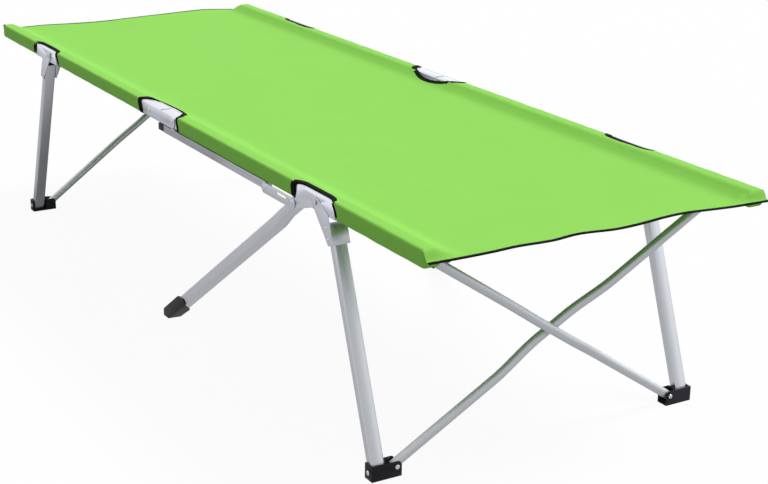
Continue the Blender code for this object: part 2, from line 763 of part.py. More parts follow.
# Middle hinge: two plates on the rail's sides, round at one end and square at the other.
square_end = -HINGE_X - PLATE_PAST_PIN
hinge_outline = [point for point in circle(*hinge_pin, PLATE_HALF, 24) if point[0] > HINGE_X]
hinge_outline += [
    (HINGE_X, RAIL_Z + PLATE_HALF),
    (HINGE_X, RAIL_Z - PLATE_HALF),
    (square_end, RAIL_Z + PLATE_HALF - PLATE_CORNER),
    (square_end + PLATE_CORNER, RAIL_Z + PLATE_HALF),
    (square_end + PLATE_CORNER, RAIL_Z - PLATE_HALF),
    (square_end, RAIL_Z - PLATE_HALF + PLATE_CORNER),
]
hinge_outline = [hinge_outline[i] for i in convex_hull_2d(hinge_outline)]
hinge_pins = []
hinge_holes = []
plate_y = (outer_wall_y, outer_wall_y + SHEET)
for point in (hinge_pin, (-HINGE_X, RAIL_Z)):
    hinge_pins.append(cross_rod(point, inner_wall_y - SHEET - LAP / 2, plate_y[1] - SHEET / 7, HINGE_PIN))
    hinge_pins.append(cross_rod(point, plate_y[1] - SHEET / 3, plate_y[1] + SHEET / 1.3, HINGE_HEAD))
    hinge_holes.append(cross_rod(point, *through, HINGE_PIN + PIN_PLAY))
outer_hinge_mesh = shaped(sideways(*plate_y, hinge_outline), join=hinge_pins)
inner_hinge_mesh = shaped(sideways(inner_wall_y - SHEET, inner_wall_y, hinge_outline), cut=hinge_holes)

# The joints hang from one another in the order in which the bed folds.
bodies = {"near_left_rail": joint_at("near_left_rail_body", (0, 0, 0))}
bodies["left_link"] = joint_at("left_link_axis", (HINGE_X, -RAIL_Y, RAIL_Z), bodies["near_left_rail"])
bodies["far_left_rail"] = joint_at("far_left_rail_axis", (-HINGE_X, -RAIL_Y, RAIL_Z), bodies["left_link"])
for end, sx in (("near", 1), ("far", -1)):
    foot_x = sx * foot_pin.x
    chain = (
        ("left_leg", (sx * PIVOT_X, -RAIL_Y, RAIL_Z)),
        ("left_foot", (foot_x, -RAIL_Y, FOOT_PIN_Z)),
        ("tube_a", (foot_x, -tube_y, TUBE_PIN_Z)),
        ("tube_b", (sx * crossing.x, 0, crossing.z)),
        ("right_foot", (foot_x, tube_y, TUBE_PIN_Z)),
        ("right_leg", (foot_x, RAIL_Y, FOOT_PIN_Z)),
        ("right_rail", (sx * PIVOT_X, RAIL_Y, RAIL_Z)),
    )
    carrier = bodies[f"{end}_left_rail"]
    for part_name, place in chain:
        carrier = joint_at(f"{end}_{part_name}_axis", place, carrier)
        bodies[f"{end}_{part_name}"] = carrier
bodies["right_link"] = joint_at("right_link_axis", (HINGE_X, RAIL_Y, RAIL_Z), bodies["near_right_rail"])
mid_pivot_y = RAIL_Y + MID_OUT
for side, sy in (("left", -1), ("right", 1)):
    place = (mid_pivot[0], sy * mid_pivot_y, mid_pivot[1])
    bodies[f"{side}_middle_leg"] = joint_at(f"{side}_middle_leg_axis", place, bodies[f"near_{side}_rail"])

# The four quarters, each with its rail, leg and foot. The two of one end are alike.
for kind, (end, sx) in enumerate((("near", 1), ("far", -1))):
    for side, sy in (("left", -1), ("right", 1)):
        name = f"{end}_{side}"
        rail = bodies[f"{name}_rail"]
        piece(f"{name}_rail", rail_mesh, rail, ALUMINIUM, (sx, sy))
        piece(f"{name}_sleeve", sleeve_meshes[kind], rail, GREEN_CLOTH, (sx, sy))
        piece(f"{name}_end_plug", end_plug_mesh, rail, BLACK_PLASTIC, (sx, sy))
        piece(f"{name}_hinge_plug", hinge_plug_mesh, rail, BLACK_PLASTIC, (sx, sy))
        piece(f"{name}_bracket", bracket_meshes[kind], rail, PLATED, (sx, sy))
        piece(f"{name}_pivot_pin", pivot_pin_mesh, rail, STEEL_PIN, (sx, sy))
        piece(f"{name}_leg", leg_mesh, bodies[f"{name}_leg"], ALUMINIUM, (sx, sy))
        piece(f"{name}_leg_head", leg_head_mesh, bodies[f"{name}_leg"], PLATED, (sx, sy))
        piece(f"{name}_foot", foot_mesh, bodies[f"{name}_foot"], BLACK_PLASTIC, (sx, sy))
    piece(f"{end}_tube_a", tube_a_mesh, bodies[f"{end}_tube_a"], ALUMINIUM, (sx, -1))
    piece(f"{end}_tube_a_fitting", fitting_mesh, bodies[f"{end}_tube_a"], BLACK_PLASTIC, (sx, -1))
    piece(f"{end}_tube_b", tube_b_mesh, bodies[f"{end}_tube_b"], ALUMINIUM, (sx, 1))
    piece(f"{end}_tube_b_fitting", fitting_mesh, bodies[f"{end}_tube_b"], BLACK_PLASTIC, (sx, 1))

# The two sides' middle legs and middle hinges, on the rails of the near end.
for side, mirror in (("left", (1, -1)), ("right", (1, 1))):
    leg = bodies[f"{side}_middle_leg"]
    rail = bodies[f"near_{side}_rail"]
    piece(f"{side}_middle_leg", mid_leg_mesh, leg, ALUMINIUM, mirror)
    piece(f"{side}_middle_cap", mid_cap_mesh, leg, BLACK_PLASTIC, mirror)
    piece(f"{side}_strut", strut_mesh, rail, DARK_ALUMINIUM, mirror)
    piece(f"{side}_link_plate", link_plate_mesh, rail, PLATED, mirror)
    link = bodies[f"{side}_link"]
    piece(f"{side}_hinge_outer", outer_hinge_mesh, link, PLATED, mirror)
    piece(f"{side}_hinge_inner", inner_hinge_mesh, link, PLATED, mirror)

# The deck's three stretches.
piece("near_deck", end_deck_mesh, bodies["near_left_rail"], GREEN_CLOTH)
piece("middle_deck", middle_deck_mesh, bodies["left_link"], GREEN_CLOTH)
piece("far_deck", end_deck_mesh, bodies["far_left_rail"], GREEN_CLOTH, (-1, 1))

bpy.data.collections.remove(bench)
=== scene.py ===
# Folding camp bed: a green cloth deck slung between two jointed side rails, which stand on
# splayed legs with crossed tubes at each end and on one slanted leg under each side's middle.
import json
import math

import bpy
from mathutils import Matrix, Vector

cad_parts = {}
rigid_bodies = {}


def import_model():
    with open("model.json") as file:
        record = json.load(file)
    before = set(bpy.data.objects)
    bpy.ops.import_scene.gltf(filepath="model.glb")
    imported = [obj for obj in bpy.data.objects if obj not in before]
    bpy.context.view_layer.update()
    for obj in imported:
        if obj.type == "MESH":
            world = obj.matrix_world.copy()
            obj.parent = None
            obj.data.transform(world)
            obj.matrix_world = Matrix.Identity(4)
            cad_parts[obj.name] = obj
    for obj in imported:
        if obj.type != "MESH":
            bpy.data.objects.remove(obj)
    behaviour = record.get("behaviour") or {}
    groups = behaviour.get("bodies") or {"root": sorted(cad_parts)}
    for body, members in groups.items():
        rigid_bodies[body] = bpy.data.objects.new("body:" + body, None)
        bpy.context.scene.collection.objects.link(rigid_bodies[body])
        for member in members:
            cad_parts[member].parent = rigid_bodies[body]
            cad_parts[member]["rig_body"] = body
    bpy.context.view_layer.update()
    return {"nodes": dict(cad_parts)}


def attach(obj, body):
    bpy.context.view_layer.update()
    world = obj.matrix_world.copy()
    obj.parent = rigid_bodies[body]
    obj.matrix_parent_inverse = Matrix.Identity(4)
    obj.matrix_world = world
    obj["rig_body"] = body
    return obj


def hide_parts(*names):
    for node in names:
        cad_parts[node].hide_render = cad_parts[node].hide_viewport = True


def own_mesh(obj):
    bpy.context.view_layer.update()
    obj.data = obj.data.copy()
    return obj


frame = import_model()

# Studio. A wide pale floor under soft light from high on the right, and the camera off the
# bed's near left corner. Camera rays see the floor near white, with its shadow, and mirror rays
# see its dimmer glow, with a painted shadow under the bed's far end.
CAMERA_AT = Vector((2.7361, -1.4666, 1.1535))
CAMERA_AZIMUTH = math.radians(58.98)
CAMERA_ELEVATION = math.radians(18.62)
CAMERA_ROLL = math.radians(0.87)
LENS_MM = 73.86
SENSOR_MM = 36
VIEW_REACH = 60
LAMP_FROM = Vector((0.10, 0.54, 0.84))
LAMP_STRENGTH = 2.33
LAMP_SPREAD = math.radians(24)
SKY_LIGHT = 0.37
BACKDROP_LIGHT = 1.0
MIRRORED_SKY = 0.92
MIRRORED_SKY_TILT = 0.28
RIGHT_GLOW_FROM = 0.48
RIGHT_GLOW_GROWS = 2.4
RIGHT_GLOW_MOST = 0.40
FLOOR_SIZE = 40
FLOOR_SHADED = (0.34, 0.34, 0.34)
FLOOR_SEEN = (0.92, 0.92, 0.93)
FLOOR_GLOW = 0.94
FLOOR_MIRRORED = 0.85
FLOOR_SHEEN = 0.66
SHADE_FROM_X = -0.35
SHADE_GROWS = 1.9
SHADE_MOST = 0.46
SHADE_FROM_Y = -0.45
SHADE_SIDE_GROWS = 8.0
BLACK = (0, 0, 0)
WHITE = (1, 1, 1)


class Wire:
    """A node's output in a material. Sums and products of wires add nodes."""

    def __init__(self, tree, socket=None):
        self.tree = tree
        self.socket = socket

    def node(self, kind, settings=None, inputs=None, output=0):
        """A new node: its settings first, then the values or wires of its sockets."""
        made = self.tree.nodes.new("ShaderNode" + kind)
        for name, value in (settings or {}).items():
            setattr(made, name, value)
        for name, value in (inputs or {}).items():
            if isinstance(value, Wire):
                self.tree.links.new(value.socket, made.inputs[name])
            else:
                made.inputs[name].default_value = value
        return Wire(self.tree, made.outputs[output])

    def maths(self, operation, *values):
        """A Math node on these values and wires."""
        return self.node("Math", {"operation": operation}, dict(enumerate(values)))

    def __add__(self, other):
        return self.maths("ADD", self, other)

    __radd__ = __add__

    def __sub__(self, other):
        return self.maths("SUBTRACT", self, other)

    def __rsub__(self, other):
        return self.maths("SUBTRACT", other, self)

    def __mul__(self, other):
        return self.maths("MULTIPLY", self, other)

    __rmul__ = __mul__

    def __truediv__(self, other):
        return self.maths("DIVIDE", self, other)

    def between(self, low, high):
        """This wire, held between two values."""
        return self.maths("MINIMUM", self.maths("MAXIMUM", self, low), high)

    def parted(self):
        """The x, y and z of a wire that carries a place."""
        split = self.node("SeparateXYZ", inputs={0: self}).socket.node
        return [Wire(self.tree, output) for output in split.outputs]

    def shade(self, dark, light):
        """A colour that goes from dark to light as the wire goes from 0 to 1."""
        colours = {0: self, 6: (*dark, 1), 7: (*light, 1)}
        return self.node("Mix", {"data_type": "RGBA"}, colours, output=2)

    def feed(self, node, name):
        self.tree.links.new(self.socket, node.inputs[name])


def shader_start(material):
    """The material's wires and its shader."""
    material.use_nodes = True
    return Wire(material.node_tree), material.node_tree.nodes["Principled BSDF"]


def rays(start):
    """Two wires: 1 on rays from the camera or through clear glass, and 1 on mirrored rays."""
    outputs = start.node("LightPath").socket.node.outputs
    names = ("Is Camera Ray", "Is Glossy Ray", "Is Transmission Ray")
    camera, mirrored, through = [Wire(start.tree, outputs[name]) for name in names]
    return start.maths("MINIMUM", camera + through, 1.0), mirrored


world = bpy.data.worlds.new("studio")
bpy.context.scene.world = world
world.use_nodes = True
start = Wire(world.node_tree)
direct, mirrored = rays(start)
ray_x, ray_y = start.node("TexCoord", output="Generated").parted()[:2]
right_glow = ((ray_y - RIGHT_GLOW_FROM) * RIGHT_GLOW_GROWS).between(0.0, RIGHT_GLOW_MOST)
mirrored_light = MIRRORED_SKY - ray_x * MIRRORED_SKY_TILT + right_glow
soft_light, backdrop, reflected = [
    start.node("Background", inputs={"Color": (*WHITE, 1), "Strength": strength})
    for strength in (SKY_LIGHT, BACKDROP_LIGHT, mirrored_light)
]
sky = start.node("MixShader", inputs={0: direct, 1: soft_light, 2: backdrop})
sky = start.node("MixShader", inputs={0: mirrored, 1: sky, 2: reflected})
sky.feed(world.node_tree.nodes["World Output"], "Surface")

bpy.ops.object.select_all(action="DESELECT")
bpy.ops.mesh.primitive_plane_add(size=FLOOR_SIZE, location=(0, 0, 0))
floor = bpy.context.active_object
floor.name = "studio_floor"
floor_paint = bpy.data.materials.new("pale_floor")
start, shader = shader_start(floor_paint)
shader.inputs["Roughness"].default_value = 0.9
shader.inputs["Specular IOR Level"].default_value = 0.1
direct, mirrored = rays(start)
direct.shade(FLOOR_SHADED, FLOOR_SEEN).feed(shader, "Base Color")
# Painted shadow in the mirrored floor: its glow darkens past x -0.35 towards the far end, inward
# of the bed's left edge.
floor_x, floor_y = start.node("TexCoord", output="Object").parted()[:2]
painted_shadow_far_half = ((floor_x - SHADE_FROM_X) * SHADE_GROWS).between(-SHADE_MOST, 0.0)
painted_shadow_inside_left_edge = ((floor_y - SHADE_FROM_Y) * SHADE_SIDE_GROWS).between(0.0, 1.0)
sheen_with_painted_shadow = painted_shadow_far_half * painted_shadow_inside_left_edge + FLOOR_SHEEN
sheen = start.node("Emission", inputs={"Color": sheen_with_painted_shadow.shade(BLACK, WHITE), "Strength": 1.0})
glow = start.node("Emission", inputs={"Color": (*WHITE, 1), "Strength": 1.0})
lit = Wire(start.tree, shader.outputs[0])
seen = start.node("MixShader", inputs={0: direct * FLOOR_GLOW, 1: lit, 2: glow})
seen = start.node("MixShader", inputs={0: mirrored * FLOOR_MIRRORED, 1: seen, 2: sheen})
seen.feed(floor_paint.node_tree.nodes["Material Output"], "Surface")
floor.data.materials.append(floor_paint)

lamp = bpy.data.lights.new("high_right", "SUN")
lamp.energy = LAMP_STRENGTH
lamp.angle = LAMP_SPREAD
lamp_holder = bpy.data.objects.new("high_right", lamp)
lamp_holder.rotation_euler = LAMP_FROM.to_track_quat("Z", "Y").to_euler()
bpy.context.scene.collection.objects.link(lamp_holder)

level = math.cos(CAMERA_ELEVATION)
backwards = Vector(
    (
        math.sin(CAMERA_AZIMUTH) * level,
        -math.cos(CAMERA_AZIMUTH) * level,
        math.sin(CAMERA_ELEVATION),
    )
)
right = Vector((0, 0, 1)).cross(backwards).normalized()
up = backwards.cross(right)
right_rolled = right * math.cos(CAMERA_ROLL) + up * math.sin(CAMERA_ROLL)
up_rolled = up * math.cos(CAMERA_ROLL) - right * math.sin(CAMERA_ROLL)
camera_turn = Matrix((right_rolled, up_rolled, backwards)).transposed().to_4x4()
lens = bpy.data.cameras.new("camera")
lens.sensor_width = SENSOR_MM
lens.lens = LENS_MM
lens.clip_end = VIEW_REACH
camera = bpy.data.objects.new("camera", lens)
camera.matrix_world = Matrix.Translation(CAMERA_AT) @ camera_turn
bpy.context.scene.collection.objects.link(camera)
bpy.context.scene.camera = camera
bpy.context.scene.view_settings.view_transform = "Standard"

# Side rails, end legs, middle legs and struts. Drawn aluminium tube, satin anodised, with
# fine drawing lines along its length and a slightly uneven sheen.
ENDS = (("near", 1), ("far", -1))
SIDES = (("left", -1), ("right", 1))
CORNERS = [(end, sx, side, sy) for end, sx in ENDS for side, sy in SIDES]
SOFT_EDGE = 0.0003
EASED_OVER = math.radians(40)
SMOOTH_UNDER = math.radians(38)
LEG_LEAN = math.radians(69.5)
JOINT_GAP_SOLID = 0.0046
JOINT_GAP = 0.0019
STRUT_END = 0.0120
MIDDLE_LEG_LEAN = math.radians(34.66)
MIDDLE_LEG_BASE = Vector((0, 0, 0.0103))
MIDDLE_LEG_CUTS = (0.570, 0.610)
THICKER_UP_TO = 0.580
THICKER_BY = 0.22
THICKER_LOWERED = 0.0030


def alone(obj):
    """Selects this object only."""
    bpy.ops.object.select_all(action="DESELECT")
    obj.select_set(True)
    bpy.context.view_layer.objects.active = obj


def ease_edges(piece, width, segments, turn):
    """Rounds the piece's edges where its faces turn more sharply than this."""
    ease = piece.modifiers.new("Bevel", "BEVEL")
    ease.width = width
    ease.segments = segments
    ease.limit_method = "ANGLE"
    ease.angle_limit = turn
    bpy.ops.object.modifier_apply(modifier=ease.name)


def fine_copy(node, along, edge=SOFT_EDGE):
    """A copy of a solid with joined faces, eased edges and a grain that runs along it."""
    source = frame["nodes"][node]
    copy = bpy.data.objects.new("fine_" + node, source.data.copy())
    bpy.context.scene.collection.objects.link(copy)
    alone(copy)
    bpy.ops.object.mode_set(mode="EDIT")
    bpy.ops.mesh.select_all(action="SELECT")
    bpy.ops.mesh.remove_doubles(threshold=0.00002)
    bpy.ops.mesh.dissolve_limited(angle_limit=math.radians(1.5))
    bpy.ops.object.mode_set(mode="OBJECT")
    if edge:
        ease_edges(copy, edge, 2, EASED_OVER)
    bpy.ops.object.shade_smooth_by_angle(angle=SMOOTH_UNDER)
    lay_grain(copy, along)
    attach(copy, source["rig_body"])
    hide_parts(node)
    return copy


def lay_grain(piece, along):
    """Keeps each point's distance along the piece and across it, for the metal's lines."""
    along = Vector(along).normalized()
    across = along.orthogonal().normalized()
    third = along.cross(across)
    grain = piece.data.attributes.new("grain", "FLOAT_VECTOR", "POINT")
    for value, vertex in zip(grain.data, piece.data.vertices):
        value.vector = (vertex.co.dot(along), vertex.co.dot(across), vertex.co.dot(third))


def metal(name, dark, light, smooth, rough, lines=500.0, scratch=0.06):
    """A drawn or rolled metal with fine lines along its grain."""
    made = bpy.data.materials.new(name)
    start, shader = shader_start(made)
    shader.inputs["Metallic"].default_value = 1.0
    grain = start.node("Attribute", {"attribute_name": "grain"}, output="Vector")
    stretched = start.node("Mapping", inputs={"Vector": grain, "Scale": (4.0, lines, lines)})
    drawn = start.node("TexNoise", inputs={"Vector": stretched, "Scale": 1.0, "Detail": 2.0})
    cloudy = start.node("TexNoise", inputs={"Vector": grain, "Scale": 22.0, "Detail": 3.0})
    tone = drawn * 0.45 + cloudy * 0.55
    tone.shade(dark, light).feed(shader, "Base Color")
    spread = rough - smooth
    (tone * spread * 1.6 + (smooth - 0.3 * spread)).feed(shader, "Roughness")
    relief = {"Strength": scratch, "Distance": 0.0004, "Height": drawn}
    start.node("Bump", inputs=relief).feed(shader, "Normal")
    return made


def finish(piece, material):
    """Gives a piece its only material."""
    piece.data.materials.clear()
    piece.data.materials.append(material)


tube_aluminium = metal("satin_tube", (0.60, 0.62, 0.66), (0.72, 0.74, 0.78), 0.44, 0.54)
aluminium = metal("satin_aluminium", (0.62, 0.64, 0.69), (0.74, 0.76, 0.81), 0.30, 0.42)
# The struts get a darker copy of the same aluminium: painted shade for where they sit under the
# deck.
painted_shade_aluminium = metal("strut_aluminium", (0.50, 0.51, 0.57), (0.62, 0.63, 0.69), 0.32, 0.44)
leg_ways = {end: Vector((-sx * math.cos(LEG_LEAN), 0, math.sin(LEG_LEAN))) for end, sx in ENDS}
for end, sx, side, sy in CORNERS:
    rail = fine_copy(f"{end}_{side}_rail", (1, 0, 0), 0)
    for vertex in rail.data.vertices:
        if abs(vertex.co.x) < JOINT_GAP_SOLID:
            vertex.co.x = sx * JOINT_GAP
    finish(rail, aluminium)
    leg = fine_copy(f"{end}_{side}_leg", leg_ways[end], 0)
    finish(leg, aluminium)
middle_way = Vector((math.cos(MIDDLE_LEG_LEAN), 0, math.sin(MIDDLE_LEG_LEAN)))
middle_under = Vector((-math.sin(MIDDLE_LEG_LEAN), 0, math.cos(MIDDLE_LEG_LEAN)))
for side, sy in SIDES:
    leg = fine_copy(f"{side}_middle_leg", middle_way, 0)
    bpy.ops.object.mode_set(mode="EDIT")
    for station in MIDDLE_LEG_CUTS:
        bpy.ops.mesh.select_all(action="SELECT")
        cut_at = MIDDLE_LEG_BASE + middle_way * station
        bpy.ops.mesh.bisect(plane_co=cut_at, plane_no=middle_way)
    bpy.ops.object.mode_set(mode="OBJECT")
    for vertex in leg.data.vertices:
        place = vertex.co - MIDDLE_LEG_BASE
        if place.dot(middle_way) < THICKER_UP_TO:
            vertex.co += middle_under * (place.dot(middle_under) * THICKER_BY - THICKER_LOWERED)
    finish(leg, aluminium)
    strut = fine_copy(f"{side}_strut", (1, 0, 0))
    for vertex in strut.data.vertices:
        vertex.co.x = max(vertex.co.x, STRUT_END)
    finish(strut, painted_shade_aluminium)

# Crossed tubes. Round aluminium tube of 16 mm, cut open at both ends. Each is bowed a little
# to one side in the middle, where it passes its partner.
TUBE_FOOT = Vector((0.8045, 0.281, 0.0170))
TUBE_TOP = Vector((0.868, -0.281, 0.392))
TUBE_R = 0.008
TUBE_SIDES = 32
TUBE_WALL = 0.0012
BORE_INSET = TUBE_WALL * math.cos(math.pi / TUBE_SIDES)
TUBE_PAST_FOOT = 0.007
TUBE_SHORT_OF_TOP = 0.002
BORE_DEEP = 0.006
BOW = 0.0083
BOW_HALF = 0.130
BOW_RISE = 0.100
BOW_CUTS = 14
BOW_STEP = 0.01


def straight_tube(reach):
    """A tube along Z with a cut all round at each step of the bow, and a bore in each end."""
    low, high = -reach - TUBE_PAST_FOOT, reach - TUBE_SHORT_OF_TOP
    bpy.ops.object.select_all(action="DESELECT")
    bpy.ops.mesh.primitive_cylinder_add(
        vertices=TUBE_SIDES, radius=TUBE_R, depth=high - low, location=(0, 0, (low + high) / 2)
    )
    tube = bpy.context.active_object
    bpy.ops.object.transform_apply(location=True, rotation=False, scale=False)
    bpy.ops.object.mode_set(mode="EDIT")
    for step in range(-BOW_CUTS, BOW_CUTS + 1):
        bpy.ops.mesh.select_all(action="SELECT")
        bpy.ops.mesh.bisect(plane_co=(0, 0, BOW_STEP * step), plane_no=(0, 0, 1))
    bpy.ops.mesh.select_mode(type="FACE")
    bpy.ops.mesh.select_all(action="DESELECT")
    bpy.ops.object.mode_set(mode="OBJECT")
    for face in tube.data.polygons:
        face.select = abs(face.normal.z) > 0.9
    bpy.ops.object.mode_set(mode="EDIT")
    bpy.ops.mesh.inset(thickness=BORE_INSET)
    bpy.ops.mesh.inset(thickness=0, depth=-BORE_DEEP)
    bpy.ops.mesh.select_mode(type="VERT")
    bpy.ops.object.mode_set(mode="OBJECT")
    return tube


def bow_out(tube, bow):
    """Moves the tube's middle out by this much, and keeps its section square to its line."""
    for vertex in tube.data.vertices:
        x, y, z = vertex.co
        share = min(max((BOW_HALF - abs(z)) / BOW_RISE, 0.0), 1.0)
        lean = 6 * share * (1 - share) / BOW_RISE * bow * (-1 if z > 0 else 1)
        middle = Vector((bow * share * share * (3 - 2 * share), y, z))
        vertex.co = middle + Vector((1, 0, -lean)).normalized() * x


def own_copy(pattern, name, matrix):
    """A copy with its own mesh, laid in its place by the matrix and shaded smoothly."""
    copy = bpy.data.objects.new(name, pattern.data.copy())
    bpy.context.scene.collection.objects.link(copy)
    copy.data.transform(matrix)
    alone(copy)
    bpy.ops.object.shade_smooth_by_angle(angle=SMOOTH_UNDER)
    return copy


reach = (TUBE_TOP - TUBE_FOOT).length / 2
patterns = {}
for letter, sy in (("a", -1), ("b", 1)):
    patterns[letter, sy] = straight_tube(reach)
    bow_out(patterns[letter, sy], BOW * sy)
for end, sx in ENDS:
    for (letter, sy), pattern in patterns.items():
        mirror = Vector((sx, sy, 1))
        foot, top = TUBE_FOOT * mirror, TUBE_TOP * mirror
        way = (top - foot).normalized()
        rise, spread = TUBE_TOP.z - TUBE_FOOT.z, TUBE_TOP.x - TUBE_FOOT.x
        outwards = Vector((sx * rise, 0, -spread)).normalized()
        turn = Matrix((outwards, way.cross(outwards), way)).transposed().to_4x4()
        laid = Matrix.Translation((foot + top) / 2) @ turn
        tube = own_copy(pattern, f"{end}_tube_{letter}_metal", laid)
        lay_grain(tube, way)
        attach(tube, f"{end}_tube_{letter}")
        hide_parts(f"{end}_tube_{letter}")
        finish(tube, tube_aluminium)
for pattern in patterns.values():
    bpy.data.objects.remove(pattern)

# Brackets, leg heads, link plates and middle hinge plates. Steel sheet, pressed and folded,
# bright plated, with the rolling lines of the sheet still faintly in it.
SHEET_EDGE = 0.0002
PLATE_EDGE = 0.0005
HEAD_SHORTER = 0.0075
HEAD_LOWER_PART = 0.018

plated = metal(
    "plated_sheet", (0.64, 0.66, 0.73), (0.78, 0.80, 0.87), 0.26, 0.38, lines=220.0, scratch=0.04
)
for end, sx, side, sy in CORNERS:
    bracket = fine_copy(f"{end}_{side}_bracket", (1, 0, 0), SHEET_EDGE)
    finish(bracket, plated)
    head = fine_copy(f"{end}_{side}_leg_head", (1, 0, 0), SHEET_EDGE)
    lowest = min(vertex.co.dot(leg_ways[end]) for vertex in head.data.vertices)
    for vertex in head.data.vertices:
        share = 1 - (vertex.co.dot(leg_ways[end]) - lowest) / HEAD_LOWER_PART
        vertex.co += leg_ways[end] * HEAD_SHORTER * max(0.0, share)
    finish(head, plated)
for side, sy in SIDES:
    for part in ("link_plate", "hinge_outer", "hinge_inner"):
        plate = fine_copy(f"{side}_{part}", (1, 0, 0), PLATE_EDGE)
        finish(plate, plated)

# Pivot pins of the end legs. Steel rivets through the bracket, the rail and the leg's head,
# formed over at both ends and left bright.
bright_steel = metal(
    "rivet_steel", (0.66, 0.67, 0.70), (0.82, 0.83, 0.86), 0.20, 0.32, lines=90.0
)
for end, sx, side, sy in CORNERS:
    pin = fine_copy(f"{end}_{side}_pivot_pin", (0, 1, 0))
    finish(pin, bright_steel)

# Rivets. Bright steel: domed heads, two in each leg head and two in each foot, and half-hollow
# heads with a rolled edge and a dimple, one at each end of the link and hinge plates.
RIVET_SIDES = 24
RIVET_HIGH = 0.0018
HEAD_RIVET_R = 0.0024
FOOT_RIVET_R = 0.0042
JOINT_RIVET_R = 0.0052
LINK_RIVET_R = 0.0045
DIMPLED = (
    (1.0, -0.3), (1.0, 0.25), (0.93, 0.55), (0.74, 0.68), (0.56, 0.55), (0.48, -0.22),
    (0.18, -0.28),
)
DOMED = (
    (1.0, -0.3), (1.0, 0.20), (0.92, 0.45), (0.76, 0.68), (0.52, 0.86), (0.25, 0.95),
    (0.06, 0.97),
)


def rivet_head(section):
    """A head of unit size, drawn up ring by ring through the section's radii and heights."""
    radius, height = section[0]
    bpy.ops.object.select_all(action="DESELECT")
    bpy.ops.mesh.primitive_circle_add(
        vertices=RIVET_SIDES, radius=radius, fill_type="NGON", location=(0, 0, height)
    )
    head = bpy.context.active_object
    bpy.ops.object.transform_apply(location=True, rotation=False, scale=False)
    bpy.ops.object.mode_set(mode="EDIT")
    for next_radius, next_height in section[1:]:
        rise = (0, 0, next_height - height)
        narrower = next_radius / radius
        bpy.ops.mesh.extrude_region_move(TRANSFORM_OT_translate={"value": rise})
        bpy.ops.transform.resize(
            value=(narrower, narrower, 1), center_override=(0, 0, next_height)
        )
        radius, height = next_radius, next_height
    bpy.ops.mesh.select_all(action="SELECT")
    bpy.ops.mesh.normals_make_consistent(inside=False)
    bpy.ops.object.mode_set(mode="OBJECT")
    return head


dimpled, domed = rivet_head(DIMPLED), rivet_head(DOMED)
for end, sx, side, sy in CORNERS:
    outside, endwards = Vector((0, sy, 0)), Vector((sx, 0, 0))
    leg, foot, rail = f"{end}_{side}_leg", f"{end}_{side}_foot", f"near_{side}_rail"
    spots = [
        (leg, (sx * 0.6645, sy * 0.3275, 0.3792), outside, HEAD_RIVET_R, domed),
        (leg, (sx * 0.6711, sy * 0.3275, 0.3612), outside, HEAD_RIVET_R, domed),
        (foot, (sx * 0.8045, sy * 0.3281, 0.0125), outside, FOOT_RIVET_R, domed),
        (foot, (sx * 0.8168, sy * 0.2810, 0.0170), endwards, FOOT_RIVET_R, domed),
        (f"{side}_link", (sx * 0.0540, sy * 0.3264, 0.4125), outside, JOINT_RIVET_R, dimpled),
    ]
    if end == "near":
        for x in (0.5463, 0.4455):
            spots.append((rail, (x, sy * 0.3280, 0.3880), outside, LINK_RIVET_R, dimpled))
    for number, (body, place, way, radius, pattern) in enumerate(spots):
        first = way.orthogonal().normalized()
        turn = Matrix((first, way.cross(first), way)).transposed().to_4x4()
        laid = Matrix.Translation(place) @ turn @ Matrix.Diagonal((radius, radius, RIVET_HIGH, 1))
        rivet = own_copy(pattern, f"{end}_{side}_rivet_{number}", laid)
        lay_grain(rivet, way)
        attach(rivet, body)
        finish(rivet, bright_steel)
for pattern in (dimpled, domed):
    bpy.data.objects.remove(pattern)

# Foot blocks, end plugs, hinge plugs, tube fittings, middle leg caps and the struts' plugs.
# Injection moulded in black plastic with a fine spark texture, and pushed on or in.
MOULDED_EDGE = 0.0005
HINGE_PLUG_FACE = 0.0062
CAP_EDGE = 0.0016
CAP_FACE = 0.3259
CAP_BACK = 0.2980
CAP_OUTER = (
    (-0.0138, 0.0), (0.0090, 0.0), (0.0960, 0.0590), (0.0850, 0.0680), (0.0578, 0.0646),
    (-0.0138, 0.0150),
)
CAP_INNER = (
    (-0.0138, 0.0), (0.0104, 0.0), (0.0547, 0.0285), (0.0480, 0.0450), (0.0400, 0.0524),
    (-0.0138, 0.0150),
)
STRUT_PLUG_EDGE = 0.0014
STRUT_PLUG_SIZE = Vector((0.0270, 0.0098, 0.0138))
STRUT_PLUG_MIDDLE = Vector((-0.0011, 0.3190, 0.3905))
MOULDED_EASED_OVER = math.radians(30)

plastic = bpy.data.materials.new("moulded_plastic")
start, shader = shader_start(plastic)
place = start.node("TexCoord", output="Object")
shader.inputs["Specular IOR Level"].default_value = 0.22
spark = start.node("TexNoise", inputs={"Vector": place, "Scale": 2600.0, "Detail": 2.0})
wear = start.node("TexNoise", inputs={"Vector": place, "Scale": 70.0, "Detail": 4.0})
wear.shade((0.013, 0.012, 0.018), (0.026, 0.024, 0.036)).feed(shader, "Base Color")
(wear * 0.18 + spark * 0.10 + 0.34).feed(shader, "Roughness")
relief = {"Strength": 0.25, "Distance": 0.0001, "Height": spark}
start.node("Bump", inputs=relief).feed(shader, "Normal")


def finish_moulding(piece, width):
    """Rounds a new moulding's edges, and shades it smoothly."""
    ease_edges(piece, width, 3, MOULDED_EASED_OVER)
    bpy.ops.object.shade_smooth_by_angle(angle=SMOOTH_UNDER)
    finish(piece, plastic)


